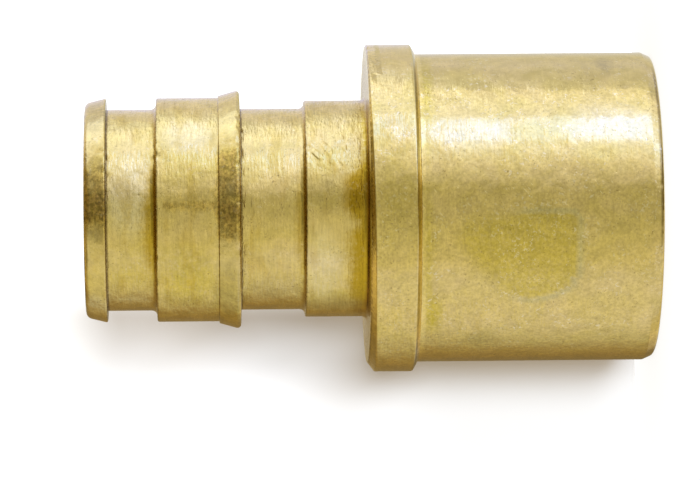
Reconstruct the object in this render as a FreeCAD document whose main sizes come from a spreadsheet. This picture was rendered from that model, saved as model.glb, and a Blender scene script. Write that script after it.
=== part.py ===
import FreeCAD, Part
import os
import Sketcher

# A pipe adapter turned from one length of brass bar. Its axis is Z. It stands on the open end of
# its plain stub, with the origin at the centre of that end face, and the ribbed insert points up.

doc = FreeCAD.newDocument("pipe_adapter")

# Driving sizes, in millimetres and degrees
driving_sizes = [
    ("stub_diameter", "22.22", "outside of the plain stub, which slips into a copper fitting"),
    ("stub_length", "17.05", "from the stub's end face to the collar"),
    ("lead_in_length", "0.72", "bevel round the stub's end, along the axis"),
    ("lead_in_depth", "0.32", "the same bevel, across the axis"),
    ("lead_in_rounding", "0.30", "softens the two edges of that bevel"),
    ("collar_diameter", "23.60", "outside of the collar that stops the pipe"),
    ("collar_length", "3.55", "thickness of the collar along the axis"),
    ("collar_stub_bevel_length", "0.32", "bevel on the collar's stub side, along the axis"),
    ("collar_stub_bevel_depth", "0.55", "the same bevel, across the axis"),
    ("collar_pipe_bevel_length", "0.30", "bevel on the collar's pipe side, along the axis"),
    ("collar_pipe_bevel_depth", "0.41", "the same bevel, across the axis"),
    ("seat_land_diameter", "15.60", "land next to the collar"),
    ("seat_land_length", "4.45", "the same land, along the axis"),
    ("barb_groove_depth", "0.55", "groove behind the barb, below the land next to the collar"),
    ("barb_groove_length", "4.60", "the same groove, along the axis"),
    ("middle_land_diameter", "16.14", "land between the barb and the tip groove"),
    ("middle_land_length", "4.48", "the same land, along the axis"),
    ("barb_height", "0.58", "the barb's edge before it is rounded, above the middle land"),
    ("barb_length", "1.54", "the barb's slope, along the axis"),
    ("barb_step", "0.14", "small step from the end of that slope down to the middle land"),
    ("barb_rounding", "0.26", "rounds the barb's edge"),
    ("tip_groove_depth", "0.82", "groove behind the tip rib, below the middle land"),
    ("tip_groove_length", "3.57", "the same groove, along the axis"),
    ("tip_rib_height", "0.845", "the tip rib's edge, above the floor of its groove"),
    ("tip_rib_length", "1.54", "the tip rib, along the axis"),
    ("tip_slope", "0.38", "how far the tip rib's outside comes in towards the insert's end"),
    ("tip_rounding", "0.45", "rounds the outer edge of the insert's end"),
    ("root_rounding", "0.40", "the tool's nose in each corner that faces the insert's end"),
    ("stub_wall", "1.61", "metal left round the stub's bore"),
    ("stub_bore_stop", "1.55", "where that bore ends at its full width, short of the collar"),
    ("drill_point_angle", "118", "whole angle of the cone where the stub's bore narrows"),
    ("waterway_diameter", "11.70", "bore through the insert"),
    ("mouth_bevel", "0.30", "bevel inside both mouths, as long as it is deep"),
]
sheet = doc.addObject("Spreadsheet::Sheet", "Sizes")
for row, (size_name, size_text, meaning) in enumerate(driving_sizes, start=1):
    sheet.set(f"A{row}", size_name)
    sheet.set(f"B{row}", size_text)
    sheet.setAlias(f"B{row}", size_name)
    sheet.set(f"C{row}", meaning)
doc.recompute()

# Heights of the shoulders above the stub's end face, each stacked on the one before
collar_foot = "Sizes.stub_length"
collar_top = f"{collar_foot} + Sizes.collar_length"
seat_land_top = f"{collar_top} + Sizes.seat_land_length"
barb_groove_top = f"{seat_land_top} + Sizes.barb_groove_length"
barb_top = f"{barb_groove_top} + Sizes.barb_length"
middle_land_top = f"{barb_top} + Sizes.middle_land_length"
tip_groove_top = f"{middle_land_top} + Sizes.tip_groove_length"
insert_end = f"{tip_groove_top} + Sizes.tip_rib_length"


def radius_of(size_name):
    """Half of a diameter in the sheet, as an expression."""
    return f"Sizes.{size_name} / 2"


def reading(expression):
    """What an expression comes to with the sheet's present sizes."""
    return float(sheet.evalExpression(expression))


def half_section(body, name, corners):
    """A closed outline in the body's XZ plane, each corner held at its radius and its height."""
    section = body.newObject("Sketcher::SketchObject", name)
    plane = next(face for face in body.Origin.OriginFeatures if face.Role == "XZ_Plane")
    section.AttachmentSupport = [(plane, "")]
    section.MapMode = "FlatFace"
    spots = [FreeCAD.Vector(reading(radius), reading(height), 0) for radius, height in corners]
    for start, end in zip(spots, spots[1:] + spots[:1]):
        section.addGeometry(Part.LineSegment(start, end), False)
    for line in range(len(corners)):
        following = (line + 1) % len(corners)
        section.addConstraint(Sketcher.Constraint("Coincident", line, 2, following, 1))
    for line, (radius, height) in enumerate(corners):
        across = section.addConstraint(Sketcher.Constraint("DistanceX", -1, 1, line, 1, spots[line].x))
        section.setExpression(f"Constraints[{across}]", radius)
        along = section.addConstraint(Sketcher.Constraint("DistanceY", -1, 1, line, 1, spots[line].y))
        section.setExpression(f"Constraints[{along}]", height)
    section.Visibility = False
    return section


def turn(body, kind, name, section):
    """A full turn of a half section about the body's axis, which adds metal or cuts it away."""
    feature = body.newObject(kind, name)
    feature.Profile = section
    feature.ReferenceAxis = (section, ["V_Axis"])
    feature.Angle = 360
    body.Tip = feature
    doc.recompute()
    return feature


def rims(feature, radius, height):
    """Names of the circular edges at one radius and height."""
    found = []
    for number, edge in enumerate(feature.Shape.Edges, start=1):
        round_edge = isinstance(edge.Curve, Part.Circle)
        if not round_edge:
            continue
        same_radius = abs(edge.Curve.Radius - reading(radius)) < 1e-5
        same_height = abs(edge.Curve.Center.z - reading(height)) < 1e-5
        if same_radius and same_height:
            found.append(f"Edge{number}")
    return found


def round_off(body, name, places, size_name):
    """Round the circular edges at the places given, each a radius and a height."""
    base = body.Tip
    names = [edge_name for radius, height in places for edge_name in rims(base, radius, height)]
    if len(names) != len(places):
        raise RuntimeError(f"{name} found {len(names)} edges for {len(places)} places")
    feature = body.newObject("PartDesign::Fillet", name)
    feature.Base = (base, names)
    feature.setExpression("Radius", f"Sizes.{size_name}")
    body.Tip = feature
    doc.recompute()
    return feature


# The brass body
adapter = doc.addObject("PartDesign::Body", "adapter_body")
adapter.Label = "adapter_body"
adapter.Placement = FreeCAD.Placement()

# Turned outside: stub with its lead-in, bevelled collar, lands, sloping barb and tip rib
stub_radius = radius_of("stub_diameter")
lead_in_radius = f"{stub_radius} - Sizes.lead_in_depth"
collar_radius = radius_of("collar_diameter")
seat_land_radius = radius_of("seat_land_diameter")
barb_groove_radius = f"{seat_land_radius} - Sizes.barb_groove_depth"
middle_land_radius = radius_of("middle_land_diameter")
barb_radius = f"{middle_land_radius} + Sizes.barb_height"
barb_step_radius = f"{middle_land_radius} + Sizes.barb_step"
tip_groove_radius = f"{middle_land_radius} - Sizes.tip_groove_depth"
tip_rib_radius = f"{tip_groove_radius} + Sizes.tip_rib_height"
tip_radius = f"{tip_rib_radius} - Sizes.tip_slope"
outside_section = half_section(adapter, "outside_section", [
    ("0", "0"),
    (lead_in_radius, "0"),
    (stub_radius, "Sizes.lead_in_length"),
    (stub_radius, collar_foot),
    (f"{collar_radius} - Sizes.collar_stub_bevel_depth", collar_foot),
    (collar_radius, f"{collar_foot} + Sizes.collar_stub_bevel_length"),
    (collar_radius, f"{collar_top} - Sizes.collar_pipe_bevel_length"),
    (f"{collar_radius} - Sizes.collar_pipe_bevel_depth", collar_top),
    (seat_land_radius, collar_top),
    (seat_land_radius, barb_groove_top),
    (barb_radius, barb_groove_top),
    (barb_step_radius, barb_top),
    (middle_land_radius, barb_top),
    (middle_land_radius, tip_groove_top),
    (tip_rib_radius, tip_groove_top),
    (tip_radius, insert_end),
    ("0", insert_end),
])
turned_outside = turn(adapter, "PartDesign::Revolution", "turned_outside", outside_section)


def cut_groove(name, floor, foot, top):
    """A groove round the insert, which the shrinking pipe grips."""
    section = half_section(adapter, f"{name}_section", [
        (floor, foot),
        (collar_radius, foot),
        (collar_radius, top),
        (floor, top),
    ])
    return turn(adapter, "PartDesign::Groove", name, section)


barb_groove = cut_groove("barb_groove", barb_groove_radius, seat_land_top, barb_groove_top)
tip_groove = cut_groove("tip_groove", tip_groove_radius, middle_land_top, tip_groove_top)

# Stepped bore: wide inside the stub, a drilled cone under the collar, then the narrower waterway
stub_bore_radius = f"{stub_radius} - Sizes.stub_wall"
stub_bore_depth = f"{collar_foot} - Sizes.stub_bore_stop"
waterway_radius = radius_of("waterway_diameter")
cone_length = f"({stub_bore_radius} - {waterway_radius}) / tan(Sizes.drill_point_angle / 2)"
bore_section = half_section(adapter, "bore_section", [
    ("0", "0"),
    (f"{stub_bore_radius} + Sizes.mouth_bevel", "0"),
    (stub_bore_radius, "Sizes.mouth_bevel"),
    (stub_bore_radius, stub_bore_depth),
    (waterway_radius, f"{stub_bore_depth} + {cone_length}"),
    (waterway_radius, f"{insert_end} - Sizes.mouth_bevel"),
    (f"{waterway_radius} + Sizes.mouth_bevel", insert_end),
    ("0", insert_end),
])
bore = turn(adapter, "PartDesign::Groove", "bore", bore_section)

# Rounded edges
round_off(adapter, "tip_edge", [(tip_radius, insert_end)], "tip_rounding")
round_off(adapter, "barb_edge", [(barb_radius, barb_groove_top)], "barb_rounding")
round_off(adapter, "roots", [
    (seat_land_radius, collar_top),
    (barb_groove_radius, seat_land_top),
    (tip_groove_radius, middle_land_top),
], "root_rounding")
round_off(adapter, "lead_in_edges", [
    (lead_in_radius, "0"),
    (stub_radius, "Sizes.lead_in_length"),
], "lead_in_rounding")

# Every cut has to take metal away, and nothing may have failed
for before, after in [(turned_outside, barb_groove), (barb_groove, tip_groove), (tip_groove, bore)]:
    removed = before.Shape.Volume - after.Shape.Volume
    print(f"{after.Name} takes away {removed:.1f} mm3")
    if removed <= 0:
        raise RuntimeError(f"{after.Name} cuts nothing")
for item in doc.Objects:
    if "Invalid" in item.State or "Error" in item.State:
        raise RuntimeError(f"{item.Name} failed: {item.State}")
if adapter.Shape.isNull() or not adapter.Shape.isValid() or len(adapter.Shape.Solids) != 1:
    raise RuntimeError("the adapter's body is not one valid solid")

os.makedirs("parts", exist_ok=True)
adapter.Shape.exportStep(f"parts/{adapter.Label}.step")
box = adapter.Shape.optimalBoundingBox()
print(f"{adapter.Label}: {box.XLength:.2f} x {box.YLength:.2f} x {box.ZLength:.2f} mm,"
      f" {adapter.Shape.Volume:.1f} mm3")
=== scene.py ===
# %% [markdown]
# # A turned brass pipe adapter
#
# The real object is one piece of brass, turned from bar. Its plain stub is soldered into a copper
# fitting, its collar stops the plastic pipe, and its ribbed insert grips the pipe as that shrinks back.
#
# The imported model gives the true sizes. This lesson turns a finer copy of the same outline, with the
# small rounded edges, nicks and finish that make turned and tumbled brass look real.

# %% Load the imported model
import bpy
import math
from mathutils import Matrix, Quaternion, Vector


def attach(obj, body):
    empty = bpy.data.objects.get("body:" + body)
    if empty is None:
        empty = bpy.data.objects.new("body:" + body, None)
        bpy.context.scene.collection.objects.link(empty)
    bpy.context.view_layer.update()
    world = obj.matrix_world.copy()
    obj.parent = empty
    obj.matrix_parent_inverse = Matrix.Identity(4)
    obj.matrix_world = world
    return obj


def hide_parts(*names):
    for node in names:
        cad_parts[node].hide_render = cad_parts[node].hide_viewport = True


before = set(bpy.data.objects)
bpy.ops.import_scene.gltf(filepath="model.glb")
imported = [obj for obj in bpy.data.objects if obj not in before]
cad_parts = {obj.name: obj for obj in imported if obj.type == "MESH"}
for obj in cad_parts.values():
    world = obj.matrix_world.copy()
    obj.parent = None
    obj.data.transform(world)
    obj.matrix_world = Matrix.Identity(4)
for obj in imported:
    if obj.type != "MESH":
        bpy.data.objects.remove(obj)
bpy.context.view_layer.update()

# %% [markdown]
# ## The outline that the lathe cuts
#
# Everything round on the adapter comes from one half outline, swept about the Z axis. A maker would
# draw it corner by corner, so that is how it is written here: a radius, a height above the stub's end
# face, and how far that corner is rounded.
#
# A subdivision surface could round the corners too, but it would not let each edge have its own
# radius. Tumbling wears outer edges more than inner ones, so each corner says its own.

# %% The outside and the bore, as corners
MM = 0.001
STUB_RADIUS = 11.11
COLLAR_RADIUS = 11.80
SEAT_RADIUS = 7.80
GROOVE_RADIUS = 7.25
MIDDLE_RADIUS = 8.07
STUB_BORE = 9.50
WATERWAY = 5.85
COLLAR_FOOT = 17.05
COLLAR_TOP = 20.60
SEAT_TOP = 25.05
BARB_FOOT = 29.65
MIDDLE_TOP = 35.67
TIP_RIB_FOOT = 39.24
INSERT_END = 40.78
BEVEL_FOOT = (COLLAR_RADIUS, 20.07, 0.14)
BEVEL_HEAD = (11.09, COLLAR_TOP, 0.10)
outside_corners = [
    # radius, height, rounding
    (10.79, 0.00, 0.30),
    (STUB_RADIUS, 0.72, 0.30),
    (STUB_RADIUS, COLLAR_FOOT, 0.05),
    (11.25, COLLAR_FOOT, 0.05),
    (COLLAR_RADIUS, 17.37, 0.18),
    BEVEL_FOOT,
    BEVEL_HEAD,
    (SEAT_RADIUS, COLLAR_TOP, 0.40),
    (SEAT_RADIUS, SEAT_TOP, 0.12),
    (GROOVE_RADIUS, SEAT_TOP, 0.38),
    (GROOVE_RADIUS, BARB_FOOT, 0.05),
    (8.65, BARB_FOOT, 0.26),
    (8.21, 31.19, 0.05),
    (MIDDLE_RADIUS, 31.23, 0.05),
    (MIDDLE_RADIUS, MIDDLE_TOP, 0.14),
    (GROOVE_RADIUS, MIDDLE_TOP, 0.40),
    (GROOVE_RADIUS, TIP_RIB_FOOT, 0.06),
    (8.095, TIP_RIB_FOOT, 0.10),
    (7.715, INSERT_END, 0.45),
]
bore_corners = [
    (6.15, INSERT_END, 0.06),
    (WATERWAY, 40.48, 0.06),
    (WATERWAY, 17.693, 0.10),
    (STUB_BORE, 15.50, 0.20),
    (STUB_BORE, 0.30, 0.06),
    (9.80, 0.00, 0.06),
]
print(len(outside_corners), "outside corners and", len(bore_corners), "bore corners")

# %% [markdown]
# ## A bevel that isn't even
#
# The collar's bevel on its pipe side is wide on the side that is low in the photograph and narrow on the
# side that is high, because the bar ran a little out of true when that edge was broken. So its two
# corners, written above at about their widest, move with the angle round the axis. Angles go from the side
# that faces the photograph towards +X.

# %% Corners at one angle
BEVEL_LENGTH = 0.30
BEVEL_LEAN = 0.21
BEVEL_DEPTH_PER_LENGTH = 1.36
FOOT_ROUNDING_PER_LENGTH = 0.35
HEAD_ROUNDING_PER_LENGTH = 0.25


def corners_at(angle):
    """All corners of the closed outline on one side of the piece."""
    length = BEVEL_LENGTH - BEVEL_LEAN * math.sin(math.radians(angle))
    depth = length * BEVEL_DEPTH_PER_LENGTH
    foot = outside_corners.index(BEVEL_FOOT)
    corners = outside_corners + bore_corners
    corners[foot] = (COLLAR_RADIUS, COLLAR_TOP - length, FOOT_ROUNDING_PER_LENGTH * length)
    corners[foot + 1] = (COLLAR_RADIUS - depth, COLLAR_TOP, HEAD_ROUNDING_PER_LENGTH * length)
    return corners


print("bevel from", round(BEVEL_LENGTH - BEVEL_LEAN, 2), "mm long")
print("to", round(BEVEL_LENGTH + BEVEL_LEAN, 2), "mm long")

# %% [markdown]
# ## Rounding a corner
#
# A rounded corner is a short arc that leaves one straight run and joins the next. Just before and
# after each arc there is one more point on the straight. It holds the shading flat, so that the
# roundness stays in the corner and doesn't spread along the land.

# %% Round one corner of the outline
HOLD = 0.03
SMALL_ROUNDING = 0.11
FEW_STEPS = 2
MANY_STEPS = 4


def rounded(before, corner, after, rounding, steps):
    """Points of the arc at a corner, with one holding point on each side."""
    here = Vector(corner)
    back = (Vector(before) - here).normalized()
    ahead = (Vector(after) - here).normalized()
    opening = back.angle(ahead)
    reach = rounding / math.tan(opening / 2)
    middle = here + (back + ahead).normalized() * rounding / math.sin(opening / 2)
    start = here + back * reach
    turn_angle = (start - middle).angle_signed(here + ahead * reach - middle)
    points = [here + back * (reach + HOLD)]
    for step in range(steps + 1):
        spoke = Matrix.Rotation(-turn_angle * step / steps, 2) @ (start - middle)
        points.append(middle + spoke)
    points.append(here + ahead * (reach + HOLD))
    return points


def arcs_of(corners):
    """The rounded corners of a closed outline. Small ones need fewer steps."""
    arcs = []
    for place, (radius, height, rounding) in enumerate(corners):
        before = corners[place - 1][:2]
        after = corners[(place + 1) % len(corners)][:2]
        steps = FEW_STEPS if outline_roundings[place] < SMALL_ROUNDING else MANY_STEPS
        arcs.append(rounded(before, (radius, height), after, rounding, steps))
    return arcs


outline_roundings = [rounding for radius, height, rounding in outside_corners + bore_corners]

# %% Fill the straight runs
OUTSIDE_SPACING = 0.40
BORE_SPACING = 3.0
usual_arcs = arcs_of(outside_corners + bore_corners)
run_pieces = []
for place, arc in enumerate(usual_arcs):
    run = (usual_arcs[(place + 1) % len(usual_arcs)][0] - arc[-1]).length
    spacing = OUTSIDE_SPACING if place < len(outside_corners) else BORE_SPACING
    run_pieces.append(max(1, math.ceil(run / spacing)))


def outline_at(angle):
    """The closed outline at one angle: every corner rounded, and every long run divided."""
    arcs = arcs_of(corners_at(angle))
    points = []
    for place, arc in enumerate(arcs):
        points.extend(arc)
        run_end = arcs[(place + 1) % len(arcs)][0]
        for piece in range(1, run_pieces[place]):
            points.append(arc[-1].lerp(run_end, piece / run_pieces[place]))
    return points


print("outline of", len(outline_at(0)), "points")

# %% [markdown]
# ## Wear that changes the shape
#
# The barb's edge and the edges of the lands have been knocked in the tumbling barrel and in the
# parts bin. Each knock is a shallow dent with a centre, a width and a depth. Pushing the metal in at
# the vertices gives a real change of outline, which a bump texture can't do.

# %% Knocks on the edges
# In half widths from a knock's centre
FADED_OUT = 3
edge_knocks = [
    # height, angle, half width along the axis, half width round the axis, depth
    (29.80, 51.0, 0.22, 0.26, 0.15),
    (29.80, 44.0, 0.18, 0.20, 0.10),
    (29.80, 34.0, 0.20, 0.30, 0.12),
    (29.80, 22.0, 0.18, 0.22, 0.10),
    (29.85, 4.0, 0.18, 0.20, 0.12),
    (29.80, -20.0, 0.18, 0.30, 0.08),
    (35.60, 28.5, 0.24, 0.30, 0.12),
    (35.62, 36.0, 0.18, 0.25, 0.07),
    (35.64, -24.0, 0.16, 0.25, 0.08),
    (35.62, -40.0, 0.16, 0.22, 0.07),
    (39.34, 31.0, 0.18, 0.20, 0.10),
    (39.32, 20.0, 0.16, 0.20, 0.07),
    (40.62, 6.0, 0.24, 0.60, 0.07),
    (40.58, 17.0, 0.24, 0.40, 0.06),
    (40.60, -5.0, 0.24, 0.30, 0.07),
    (0.20, 8.0, 0.14, 0.16, 0.05),
    (0.24, -3.5, 0.14, 0.15, 0.05),
    (0.18, -9.0, 0.14, 0.15, 0.05),
    (20.45, 75.0, 0.24, 0.40, 0.06),
    (29.80, 172.0, 0.20, 0.35, 0.13),
    (35.60, 215.0, 0.22, 0.30, 0.10),
    (20.15, 250.0, 0.30, 0.45, 0.09),
    (0.30, 140.0, 0.25, 0.50, 0.09),
]


def knock_depth(angle, height, radius):
    """How far the metal is pushed in at one spot, in millimetres."""
    depth = 0.0
    for centre_height, centre_angle, half_along, half_round, deepest in edge_knocks:
        along = (height - centre_height) / half_along
        if abs(along) > FADED_OUT:
            continue
        gap = (angle - centre_angle + 180) % 360 - 180
        sideways = math.radians(gap) * radius / half_round
        depth += deepest * math.exp(-along * along - sideways * sideways)
    return depth


print(len(edge_knocks), "knocks")

# %% [markdown]
# ## Sweeping the outline round
#
# The outline is swept in mesh code: one ring of vertices for each of its points, and one quad between
# neighbours. That gives the fine, even quads that the knocks and the painted wear need. A Screw
# modifier would give the same shape, but its vertices couldn't be knocked or painted one by one.

# %% Sweep the adapter's mesh
RING = 360
OUTER_SIDE = 7.0
rows = len(outline_at(0))
vertices = []
spots = []
for step in range(RING):
    angle = 360 * step / RING
    turned = math.radians(angle)
    for point in outline_at(angle):
        radius = point.x
        if radius > OUTER_SIDE:
            radius -= knock_depth(angle, point.y, radius)
        vertices.append((radius * math.sin(turned) * MM, -radius * math.cos(turned) * MM, point.y * MM))
        spots.append((angle, point.y, point.x))
faces = []
for step in range(RING):
    here = step * rows
    beside = (step + 1) % RING * rows
    for row in range(rows):
        next_row = (row + 1) % rows
        faces.append((here + row, beside + row, beside + next_row, here + next_row))

mesh = bpy.data.meshes.new("turned_adapter")
mesh.from_pydata(vertices, [], faces)
mesh.validate()
mesh.shade_smooth()
adapter = bpy.data.objects.new("turned_adapter", mesh)
bpy.context.scene.collection.objects.link(adapter)
print("turned_adapter:", len(vertices), "vertices and", 2 * len(faces), "triangles")

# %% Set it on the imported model
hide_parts("adapter_body")
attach(adapter, "root")

# %% [markdown]
# ## Where the brass has changed colour
#
# Brass darkens where fingers, flux and water have been. This adapter has brown marks on the tip rib and
# the barb, a yellow water stain with a grey rim on the stub, and a dull smudge near its end. Rubbing has
# left a few paler patches, two pale patches on the stub are a painted highlight, and the finish is calmer
# along the stub's upper side. A dark line of painted shade lies at the collar's foot, and a line of
# painted dark reflection just inside the stub's end. Each mark is painted on the vertices with soft
# edges, and the finish breaks those edges up later.
#
# The same paint says where the relief is strong: the barrel has worn the turning rings off the stub and
# the collar but hardly reached the bore, and a slanting chatter mark from the tool is left on the land
# next to the collar.

# %% Soft shapes on the surface


def smooth(amount):
    """Nought to one with an easy start and end."""
    amount = min(1.0, max(0.0, amount))
    return amount * amount * (3 - 2 * amount)


def around(angle, centre):
    """The way from one angle to another, at most half a turn."""
    return (angle - centre + 180) % 360 - 180


def oval(spot, centre, size, softness):
    """One inside an oval patch and nought outside it. Sizes are in millimetres on the surface."""
    angle, height, radius = spot
    across = math.radians(around(angle, centre[0])) * radius / size[0]
    along = (height - centre[1]) / size[1]
    return smooth((1 - math.hypot(across, along)) / softness + 0.5)


def sector(angle, low, high, softness):
    """One between two angles, fading outside them."""
    middle = (low + high) / 2
    beyond = abs(around(angle, middle)) - (high - low) / 2
    return smooth(0.5 - beyond / softness)


# %% Brown marks, smudges and yellow spots
# Each part from its foot to its top
TIP_RIB = (39.2, 41.0)
BARB = (29.6, 31.3)
MIDDLE_LAND = (31.5, 35.2)
SEAT_LAND = (20.7, 25.0)
RIB_FLOOR = 7.5
brown_marks = [
    # part, low angle, high angle, softness, strength
    (TIP_RIB, -8, 11, 14, 0.90),
    (TIP_RIB, -14, 28, 22, 0.62),
    (BARB, -9, 7, 12, 0.74),
    (BARB, -17, 32, 8, 0.62),
    (MIDDLE_LAND, -2, 6, 7, 0.60),
    (MIDDLE_LAND, -3, 14, 12, 0.42),
    (TIP_RIB, 187, 212, 9, 0.75),
    (BARB, 219, 244, 10, 0.75),
    (MIDDLE_LAND, 118, 123, 5, 0.45),
]
smudges = [
    # centre as angle and height, half size round and along, softness, strength
    ((67.0, 3.7), (1.5, 0.60), 0.9, 0.9),
    ((47.0, 4.9), (1.6, 0.35), 1.2, 0.35),
    ((60.0, 40.0), (2.4, 0.9), 1.0, 0.85),
    ((58.0, 30.4), (1.8, 0.9), 1.0, 0.35),
    ((-43.0, 30.5), (2.4, 1.0), 1.0, 0.80),
    ((-49.0, 27.3), (1.4, 2.0), 1.2, 0.50),
    ((-62.0, 23.3), (1.2, 1.9), 0.9, 0.60),
    ((10.0, 23.6), (1.2, 1.2), 1.0, 0.45),
    ((0.0, 18.9), (3.0, 1.7), 1.4, 0.30),
    ((205.0, 8.0), (2.2, 1.6), 1.1, 0.5),
    ((-57.0, 12.7), (0.9, 1.1), 1.2, 0.55),
]
yellow_spots = [
    # written as the smudges are
    ((-20.0, 16.6), (4.6, 0.35), 1.2, 0.75),
    ((-43.0, 16.2), (1.7, 0.55), 1.0, 1.0),
    ((35.0, 16.7), (4.0, 0.25), 1.2, 0.6),
    ((60.0, 16.5), (6.5, 0.40), 1.2, 0.8),
    ((160.0, 16.5), (6.0, 0.4), 1.2, 0.8),
    ((20.0, 23.9), (1.7, 1.2), 1.2, 0.40),
    ((23.0, 30.5), (1.1, 1.1), 0.8, 0.60),
    ((21.0, 33.4), (1.2, 1.9), 1.0, 0.50),
    ((-36.0, 33.4), (2.4, 2.0), 1.2, 0.75),
    ((9.0, 23.3), (1.3, 1.4), 1.2, 0.35),
    ((-58.0, 23.3), (1.5, 1.9), 1.0, 0.60),
    ((-33.0, 37.4), (2.0, 1.5), 1.2, 0.50),
    ((5.0, 18.7), (2.7, 1.5), 1.2, 0.60),
    ((-50.0, 30.5), (3.4, 1.0), 1.2, 0.60),
]
rubbed_and_highlight_patches = [
    # written as the smudges are
    # The first two patches are a painted highlight: white patches in the stub's bright band. The others are
    # rubbed, paler metal.
    ((27.5, 13.8), (1.3, 2.7), 0.9, 0.40),
    ((31.5, 3.6), (1.5, 3.1), 0.9, 0.40),
    ((8.0, 37.5), (2.6, 1.6), 0.9, 0.60),
    ((-61.0, 40.0), (1.4, 0.9), 0.8, 0.90),
    ((-66.0, 37.4), (1.0, 1.6), 0.8, 0.50),
    ((41.0, 33.4), (1.3, 1.7), 0.9, 0.40),
    ((-33.0, 23.9), (2.9, 1.2), 0.9, 0.42),
    ((215.0, 12.0), (2.0, 3.0), 0.9, 0.35),
]


# %% Brown on the ribs, golden beside the corners
CORNER_TOP = 24


def painted(patches, spot):
    """The strongest of several ovals at one spot."""
    return max(strength * oval(spot, centre, size, softness)
               for centre, size, softness, strength in patches)


def brown_at(spot):
    """The strongest brown mark at one spot. The grooves between the ribs stay clean."""
    angle, height, radius = spot
    found = [0.0]
    for (low, high), low_angle, high_angle, softness, strength in brown_marks:
        on_rib = low < height < high and radius > RIB_FLOOR
        if on_rib:
            found.append(strength * sector(angle, low_angle, high_angle, softness))
    return max(found)


def deep_golden_at(angle, height):
    """The darkest golden, beside the collar in front: tarnish, and a painted reflection of the collar's
    face.
    """
    if height < COLLAR_TOP or height > CORNER_TOP:
        return 0.0
    return sector(angle, 0, 17, 8) * smooth((23.1 - height) / 1.5)


def golden_width_at(angle, height):
    """How far the golden colour comes out of the corners. It is widest in front and behind."""
    behind = 0.8 * sector(angle, 150, 200, 40)
    if height < CORNER_TOP:
        return max(0.75 * sector(angle, -72, -10, 10), sector(angle, -5, 20, 14), behind)
    return max(sector(angle, -34, 16, 34), behind)


def foot_shade_at(angle):
    """How dark the painted shade at the collar's foot is. It is fainter just under the front."""
    worn = 1 - 0.65 * sector(angle, -24, -12, 8)
    return max(0.62 * worn, sector(angle, 18, 60, 14), sector(angle, -85, -50, 12))


# %% The water stain
# Its rim as height and distance across, as seen from the front, going round once.
stain_rim = [Vector(point) for point in (
    (14.0, -0.9), (8.8, -0.4), (6.4, -0.5), (6.0, -1.2), (6.0, -3.2), (6.15, -4.6), (6.7, -5.6),
    (7.9, -6.15), (9.3, -6.4), (10.5, -6.25), (11.6, -5.6), (13.0, -4.2), (14.6, -2.4))]
RIM_WIDTH = 0.50
STAIN_ANGLE = -18
STAIN_HALF_TURN = 35
STAIN_TOP = 15
STUB_SIDE = 10.9


def beyond_stain(point):
    """Distance outside the stain's rim, less than nought inside it."""
    nearest = math.inf
    inside = False
    for start, end in zip(stain_rim, stain_rim[1:] + stain_rim[:1]):
        side = end - start
        share = min(1.0, max(0.0, (point - start).dot(side) / side.length_squared))
        nearest = min(nearest, (point - start - side * share).length)
        crosses = (start.y > point.y) != (end.y > point.y)
        if crosses and point.x < start.x + side.x * (point.y - start.y) / side.y:
            inside = not inside
    return -nearest if inside else nearest


def stain_at(spot):
    """The yellow inside of the stain and its grey rim. The rim shows on two sides only."""
    angle, height, radius = spot
    beside = abs(around(angle, STAIN_ANGLE)) > STAIN_HALF_TURN
    if beside or height > STAIN_TOP or radius < STUB_SIDE:
        return 0.0, 0.0
    across = radius * math.sin(math.radians(angle))
    beyond = beyond_stain(Vector((height, across)))
    vague = smooth((height - 9.8) / 2.2)
    inner = smooth(0.5 - beyond / (0.16 + 1.5 * vague))
    rim = smooth((beyond + 0.04) / 0.12) * smooth((RIM_WIDTH - beyond) / 0.25)
    return inner, rim * smooth((11.6 - height) / 2.5)


# %% Where the barrel has worn the relief, and where it is calm or chattered
COLLAR_SIDE = 11.2
COLLAR_WEAR = 0.85


def tumbled_at(height, radius):
    """How far the barrel's stones have worn the rings away: most on the stub and the collar."""
    return COLLAR_WEAR if radius > COLLAR_SIDE else smooth((17.2 - height) / 0.4)


def calm_at(angle, height):
    """Where it is smooth: along the stub's top in the picture, and on the seat land's lower half."""
    foot, top = SEAT_LAND
    if foot < height < top:
        return 0.6 * sector(angle, -70, -5, 14)
    if height < 20:
        return max(sector(angle, 50, 100, 14), 0.45 * sector(angle, 25, 34, 5))
    return 0.0


def chatter_at(angle, height):
    """Where the tool has chattered: a band of slanting dents across the seat land's upper front."""
    along = smooth((height - 21.6) / 0.8) * smooth((25.2 - height) / 0.4)
    return along * sector(angle, 24, 42, 8)


# %% Paint the vertices
BORE_SIDE = 7.2


def paint_at(spot):
    """How much of each kind of colour change there is at one spot."""
    angle, height, radius = spot
    if radius < BORE_SIDE:
        return {"inside": 1.0}
    inner, rim = stain_at(spot)
    return {
        "brown": brown_at(spot),
        "smudge": painted(smudges, spot),
        "yellowed": painted(yellow_spots, spot),
        "tumbled": tumbled_at(height, radius),
        "golden_width": golden_width_at(angle, height),
        # golden beside the collar: tarnish and a painted reflection of the collar's face
        "deep_golden": deep_golden_at(angle, height),
        # painted shade at the collar's foot
        "foot_shade": foot_shade_at(angle),
        # rubbed metal, and the stub's painted highlight patches
        "rubbed_and_highlight": painted(rubbed_and_highlight_patches, spot),
        "calm": calm_at(angle, height),
        "chatter": chatter_at(angle, height),
        # where the painted dark reflection at the stub's end shows
        "dark_end_reflection": sector(angle, -14, 62, 14),
        "stain": inner,
        "stain_rim": rim,
    }


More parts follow.
